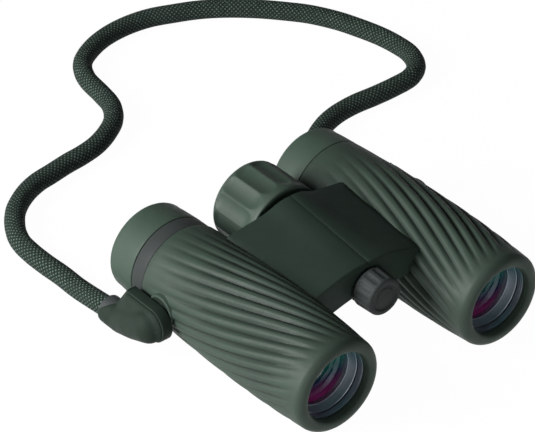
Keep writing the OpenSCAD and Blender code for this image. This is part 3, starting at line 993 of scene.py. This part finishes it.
WHEEL_R = 15.5
WHEEL_STATIONS = (73.0, 73.6, 74.2, 74.9, 75.4, 75.9, 76.5, 77.2, 78, 79, 80.5, 82, 83.5, 85, 86, 86.8,
                  87.5, 88.1, 88.7, 89.2, 89.7)
CAP_STATIONS = (25.9, 25.4, 24.8, 24.0, 23.2, 22.4, 21.7, 21.2, 20.8, 20.4, 20.0)


def fluted(reach, cutter, depth, count, front, back):
    """A dent function for scoops cut lengthwise. front and back are each the station where the scoop
    is full and the length of its run-out."""

    def dent(s, phase):
        angle = (phase - 0.5) * math.tau / count
        far = reach + cutter - depth
        inside = cutter**2 - (far * math.sin(angle)) ** 2
        if inside <= 0:
            return 0.0
        sunk = reach - (far * math.cos(angle) - math.sqrt(inside))
        past = max((front[0] - s) / front[1], (s - back[0]) / back[1], 0.0)
        return max(0.0, sunk - depth * past**2)

    return dent


class BINO_OT_focus_wheel(bpy.types.Operator):
    """Models the rubber focus wheel with its broad flutes"""

    bl_idname = "bino.focus_wheel"
    bl_label = "Focus Wheel"

    def execute(self, context):
        look = shape()
        outline = [(71.2, 12.2), (71.2, 14.6), (71.25, 14.95), (71.45, 15.25), (71.8, 15.43),
                   (72.3, WHEEL_R)]
        outline += [(s, WHEEL_R) for s in WHEEL_STATIONS]
        for angle in (6, 14, 24, 34, 44, 54, 64, 74, 84, 90):
            a = math.radians(angle)
            outline.append((90.3 + 3.4 * math.sin(a), 12.1 + 3.4 * math.cos(a)))
        outline += [(93.7, 9), (93.66, 6), (93.6, 3), (93.6, 0.001), (92.3, 0.001), (92.3, 12.2),
                    (71.2, 12.2)]
        cut = fluted(WHEEL_R, 9.5, look.flute_depth / MM, look.flutes, (77.5, 4.0), (89.8, 1.8))

        def dent(s, phase):
            return cut(s, phase) if 72.9 < s < 91.6 else 0.0

        wheel = turned(
            "focus_wheel_rubber", (0, HINGE_Z), outline, around=look.flutes * 18, per=18, dent=dent
        )
        dress(wheel, 24, "wheel", "focus_drive", "rubber_armour", "focus_wheel")
        return {"FINISHED"}


class BINO_OT_socket_cap(bpy.types.Operator):
    """Models the grooved cap over the tripod socket"""

    bl_idname = "bino.socket_cap"
    bl_label = "Socket Cap"

    def execute(self, context):
        look = shape()
        outline = [(20.2, 0.001), (20.2, 4.7), (27.0, 4.7), (27.0, 7.1), (26.8, 7.32), (26.4, 7.4)]
        outline += [(s, 7.4 - (26.4 - s) * 0.05) for s in CAP_STATIONS]
        outline += [(19.5, 7.03), (19.15, 6.86), (18.9, 6.55), (18.8, 6.15), (18.8, 5.35), (18.88, 5.2),
                    (19.1, 5.1), (19.25, 4.95), (19.3, 4.7), (19.3, 3.6), (19.22, 3.45), (19.1, 3.35),
                    (19.05, 3.15), (19.05, 0.001)]
        cut = fluted(7.25, 2.4, 0.42, look.cap_grooves, (20.6, 1.0), (25.6, 0.8))

        socket_made = False

        def dent(s, phase):
            """Sinks the outer wall, which is made after the socket, and not the socket itself."""
            nonlocal socket_made
            socket_made = socket_made or s >= 26.9
            return cut(s, phase) if socket_made and 19.3 < s < 26.6 else 0.0

        cap = turned(
            "socket_cap_knob", (0, HINGE_Z), outline, around=look.cap_grooves * 12, per=12,
            dent=dent, first_turn=6.0,
        )
        dress(cap, 45, "charcoal", "cap", "charcoal_plastic", "socket_cap")
        return {"FINISHED"}


# ---- Strap connectors ----

ROPE_X = 58
FERRULE_AXIS = (ROPE_X, 6.3)
BOSS_X = 51


class BINO_OT_connectors(bpy.types.Operator):
    """Models the strap connectors, their ferrules and the bosses they hang on"""

    bl_idname = "bino.connectors"
    bl_label = "Strap Connectors"

    def execute(self, context):
        body = self.body()
        ferrule = self.ferrule()
        boss = self.boss()
        for piece, name, key, slot, node in (
            (body, "connector_shell", "connector", "connector_rubber", "connector"),
            (ferrule, "connector_ferrule", "ferrule", "charcoal_plastic", None),
            (boss, "strap_boss_disc", "armour", "rubber_armour", "strap_boss"),
        ):
            piece.name = piece.data.name = f"left_{name}"
            piece.data.materials.append(FINISHES[key])
            other = mirrored(piece, f"right_{name}")
            smooth(piece, 35)
            smooth(other, 35)
            for side, item in (("left", piece), ("right", other)):
                ride(item, f"{side}_half", slot, *([f"{side}_{node}"] if node else []))
        return {"FINISHED"}

    def body(self):
        """The moulded elbow: a flat tab that swells out and back into the rope's sleeve."""
        tab = self.tab(6.6, 13.6, 55.6, 59.7, 0.35)
        swell = self.tab(6.2, 13.2, 59.3, 60.0, 0.0)
        into_edit(swell, "FACE")
        select_where(swell, lambda f: f.normal.x > 0.9, "faces")
        middle = place(61, 75.5, 14.2)
        for out, size in ((0.9, 0.90), (0.8, 0.84), (0.5, 0.76), (0.3, 0.6)):
            bpy.ops.mesh.extrude_region_move(TRANSFORM_OT_translate={"value": (out * MM, 0, 0)})
            bpy.ops.transform.resize(value=(1, size, size), center_override=middle)
        out_of_edit()
        neck = self.hull([
            ((60.0, 71.3, 14.0), 6.3, (0.85, 1, 1)),
            ((58.0, 88.0, 6.4), 5.55, (1, 1, 1)),
            ((59.3, 79.5, 10.6), 6.4, (0.9, 1, 1)),
        ])
        outline = [(88, 0.001), (88, 5.5), (95.6, 5.5), (95.9, 5.3), (95.9, 0.001)]
        sleeve = turned("sleeve", (ROPE_X, 6.35), outline, around=64)
        into_edit(sleeve)
        select_all()
        bpy.ops.mesh.bisect(
            plane_co=place(ROPE_X, 94.0, 6.35), plane_no=(-0.42, 0.7, 0.5), use_fill=True, clear_outer=True
        )
        out_of_edit()
        settle(sleeve)
        whole = join([swell, neck, sleeve])
        apply_modifier(whole, "REMESH", mode="VOXEL", voxel_size=0.0004)
        apply_modifier(whole, "SMOOTH", factor=0.5, iterations=22)
        combine(whole, self.bore(), "DIFFERENCE")
        shell = join([whole, tab])
        into_edit(shell)
        select_all()
        bpy.ops.mesh.bisect(
            plane_co=(0, 0, 0.00012), plane_no=(0, 0, -1), use_fill=True, clear_outer=True
        )
        out_of_edit()
        settle(shell)
        return shell

    def tab(self, radius, top_back, x0, x1, edge):
        """A plate with a round front and a square back, between two distances from the middle."""
        clear_selection()
        middle = place(x0, 69.7, 15.1)
        bpy.ops.mesh.primitive_circle_add(
            vertices=64, radius=radius * MM, location=middle, rotation=(0, math.pi / 2, 0)
        )
        tab = bpy.context.object
        tab.name = "tab"
        freeze()
        into_edit(tab)
        select_where(tab, lambda v: v.co.y > middle.y + 1e-5)
        bpy.ops.transform.resize(value=(1, 0, 1), center_override=middle)
        bpy.ops.transform.translate(value=(0, top_back * MM, 0))
        corner_at = middle + Vector((0, top_back, radius)) * MM
        bpy.ops.transform.rotate(value=math.radians(-34), orient_axis="X", center_override=corner_at)
        select_all()
        bpy.ops.mesh.remove_doubles(threshold=1e-6)
        select_all()
        bpy.ops.mesh.edge_face_add()
        select_all()
        bpy.ops.mesh.extrude_region_move(TRANSFORM_OT_translate={"value": ((x1 - x0) * MM, 0, 0)})
        if edge:

            def on_rim(e):
                level = abs(e.verts[0].co.x - e.verts[1].co.x) < 1e-5
                return level and len(e.link_faces) == 2 and e.calc_face_angle() > 1.2

            select_where(tab, on_rim, "edges")
            bpy.ops.mesh.bevel(offset=edge * MM, segments=3, affect="EDGES")
        out_of_edit()
        settle(tab)
        return tab

    def hull(self, balls):
        parts = []
        for (x, s, z), r, scale in balls:
            clear_selection()
            bpy.ops.mesh.primitive_uv_sphere_add(
                segments=40, ring_count=20, radius=r * MM, location=place(x, s, z)
            )
            bpy.ops.transform.resize(value=scale)
            freeze()
            parts.append(bpy.context.object)
        whole = join(parts)
        into_edit(whole)
        select_all()
        bpy.ops.mesh.convex_hull()
        out_of_edit()
        return whole

    def bore(self):
        return turned("bore", FERRULE_AXIS, [(87, 0.001), (87, 4.9), (99, 4.9), (99, 0.001)], around=64)

    def ferrule(self):
        outline = [(86.9, 4.0), (86.9, 4.85), (95.6, 4.85), (95.95, 4.78), (96.1, 4.6), (96.0, 4.35),
                   (95.4, 4.1), (94.5, 4.0), (86.9, 4.0)]
        return turned("ferrule", FERRULE_AXIS, outline, around=64)

    def boss(self):
        """The disc the connector sits on, modelled along +Y and turned to face +X."""
        outline = [(0, 0.001), (0, 6.0), (3.9, 6.0), (4.15, 5.9), (4.3, 5.65), (4.3, 5.2), (4.1, 4.95),
                   (4.1, 3.0), (4.6, 2.6), (6.8, 2.5), (6.9, 2.3), (6.9, 0.001)]
        disc = turned("disc", (0, 0), outline, around=64)
        work_on(disc)
        bpy.ops.transform.translate(value=(BOSS_X * MM, -FRONT * MM, 0))
        freeze()
        into_edit(disc)
        select_all()
        bpy.ops.transform.rotate(
            value=math.pi / 2, orient_axis="Z", center_override=(BOSS_X * MM, 0, 0)
        )
        bpy.ops.transform.translate(value=place(0, 70.5, 18.3))
        out_of_edit()
        settle(disc)
        return disc


# ---- Objective ends ----


class BINO_OT_objectives(bpy.types.Operator):
    """Models the front retaining rings and stepped cells"""

    bl_idname = "bino.objectives"
    bl_label = "Objectives"

    def execute(self, context):
        ring = [(3.25, 13.95), (3.25, 12.95), (3.35, 12.72), (3.6, 12.6), (5.2, 12.55), (5.5, 12.5),
                (5.6, 12.6), (5.6, 13.95), (3.25, 13.95)]
        cell = [(6.15, 13.95), (6.15, 12.55), (6.25, 12.42), (6.4, 12.36), (8.9, 11.42), (9.05, 11.3),
                (9.1, 11.15), (9.25, 11.15), (9.3, 11.6), (14.0, 11.6), (14.0, 10.8), (15.0, 10.8),
                (15.0, 13.95), (6.15, 13.95)]
        for side, sign in SIDES.items():
            centre = (sign * BARREL_X, BARREL_Z)
            for node, outline in (("front_ring", ring), ("objective_cell", cell)):
                node = f"{side}_{node}"
                piece = turned(f"{node}_turned", centre, outline, around=128)
                dress(piece, 30, f"{side}_ring", f"{side}_half", "ring_metal", node)
        return {"FINISHED"}


# ---- Parts kept from the frame ----


class BINO_OT_frame_finishes(bpy.types.Operator):
    """Gives each CAD part that stays visible its finish"""

    bl_idname = "bino.frame_finishes"
    bl_label = "Frame Finishes"

    def execute(self, context):
        keys = {
            "rubber_armour": "armour", "connector_rubber": "connector", "bridge_plastic": "bridge",
            "charcoal_plastic": "charcoal", "black_plastic": "black", "steel": "steel", "brass": "brass",
            "clear_glass": "clear_glass", "rope": "rope",
        }
        for part in frame["record"]["subparts"]:
            node, slot = frame["nodes"][part["node"]], part["material_slot"]
            side = part["node"].split("_")[0]
            if slot == "ring_metal":
                key = f"{side}_ring"
            elif slot == "coated_glass":
                key = f"{side}_lens"
            else:
                key = keys[slot]
            node.data.materials.clear()
            node.data.materials.append(FINISHES[key])
        return {"FINISHED"}


# ---- Panel and running ----

STEPS = (
    BINO_OT_stage, BINO_OT_strap, BINO_OT_armour, BINO_OT_bridge, BINO_OT_eyecups, BINO_OT_focus_wheel,
    BINO_OT_socket_cap, BINO_OT_connectors, BINO_OT_objectives, BINO_OT_frame_finishes,
)


class BINO_PT_panel(bpy.types.Panel):
    """Lists the steps and their settings"""

    bl_idname = "BINO_PT_panel"
    bl_label = "Compact Binoculars"
    bl_space_type = "VIEW_3D"
    bl_region_type = "UI"
    bl_category = "Binoculars"

    def draw(self, context):
        for settings in (context.scene.binocular_shape, context.scene.binocular_finish):
            box = self.layout.box()
            for name in settings.__annotations__:
                box.prop(settings, name)
        for step in STEPS:
            self.layout.operator(step.bl_idname)


CLASSES = (BinocularShape, BinocularFinish, *STEPS, BINO_PT_panel)


def register():
    for item in CLASSES:
        bpy.utils.register_class(item)
    bpy.types.Scene.binocular_shape = bpy.props.PointerProperty(type=BinocularShape)
    bpy.types.Scene.binocular_finish = bpy.props.PointerProperty(type=BinocularFinish)


def unregister():
    del bpy.types.Scene.binocular_finish
    del bpy.types.Scene.binocular_shape
    for item in reversed(CLASSES):
        bpy.utils.unregister_class(item)


def main():
    register()
    make_finishes()
    for step in STEPS:
        group, name = step.bl_idname.split(".")
        getattr(getattr(bpy.ops, group), name)()
    clear_selection()


if __name__ == "__main__":
    main()
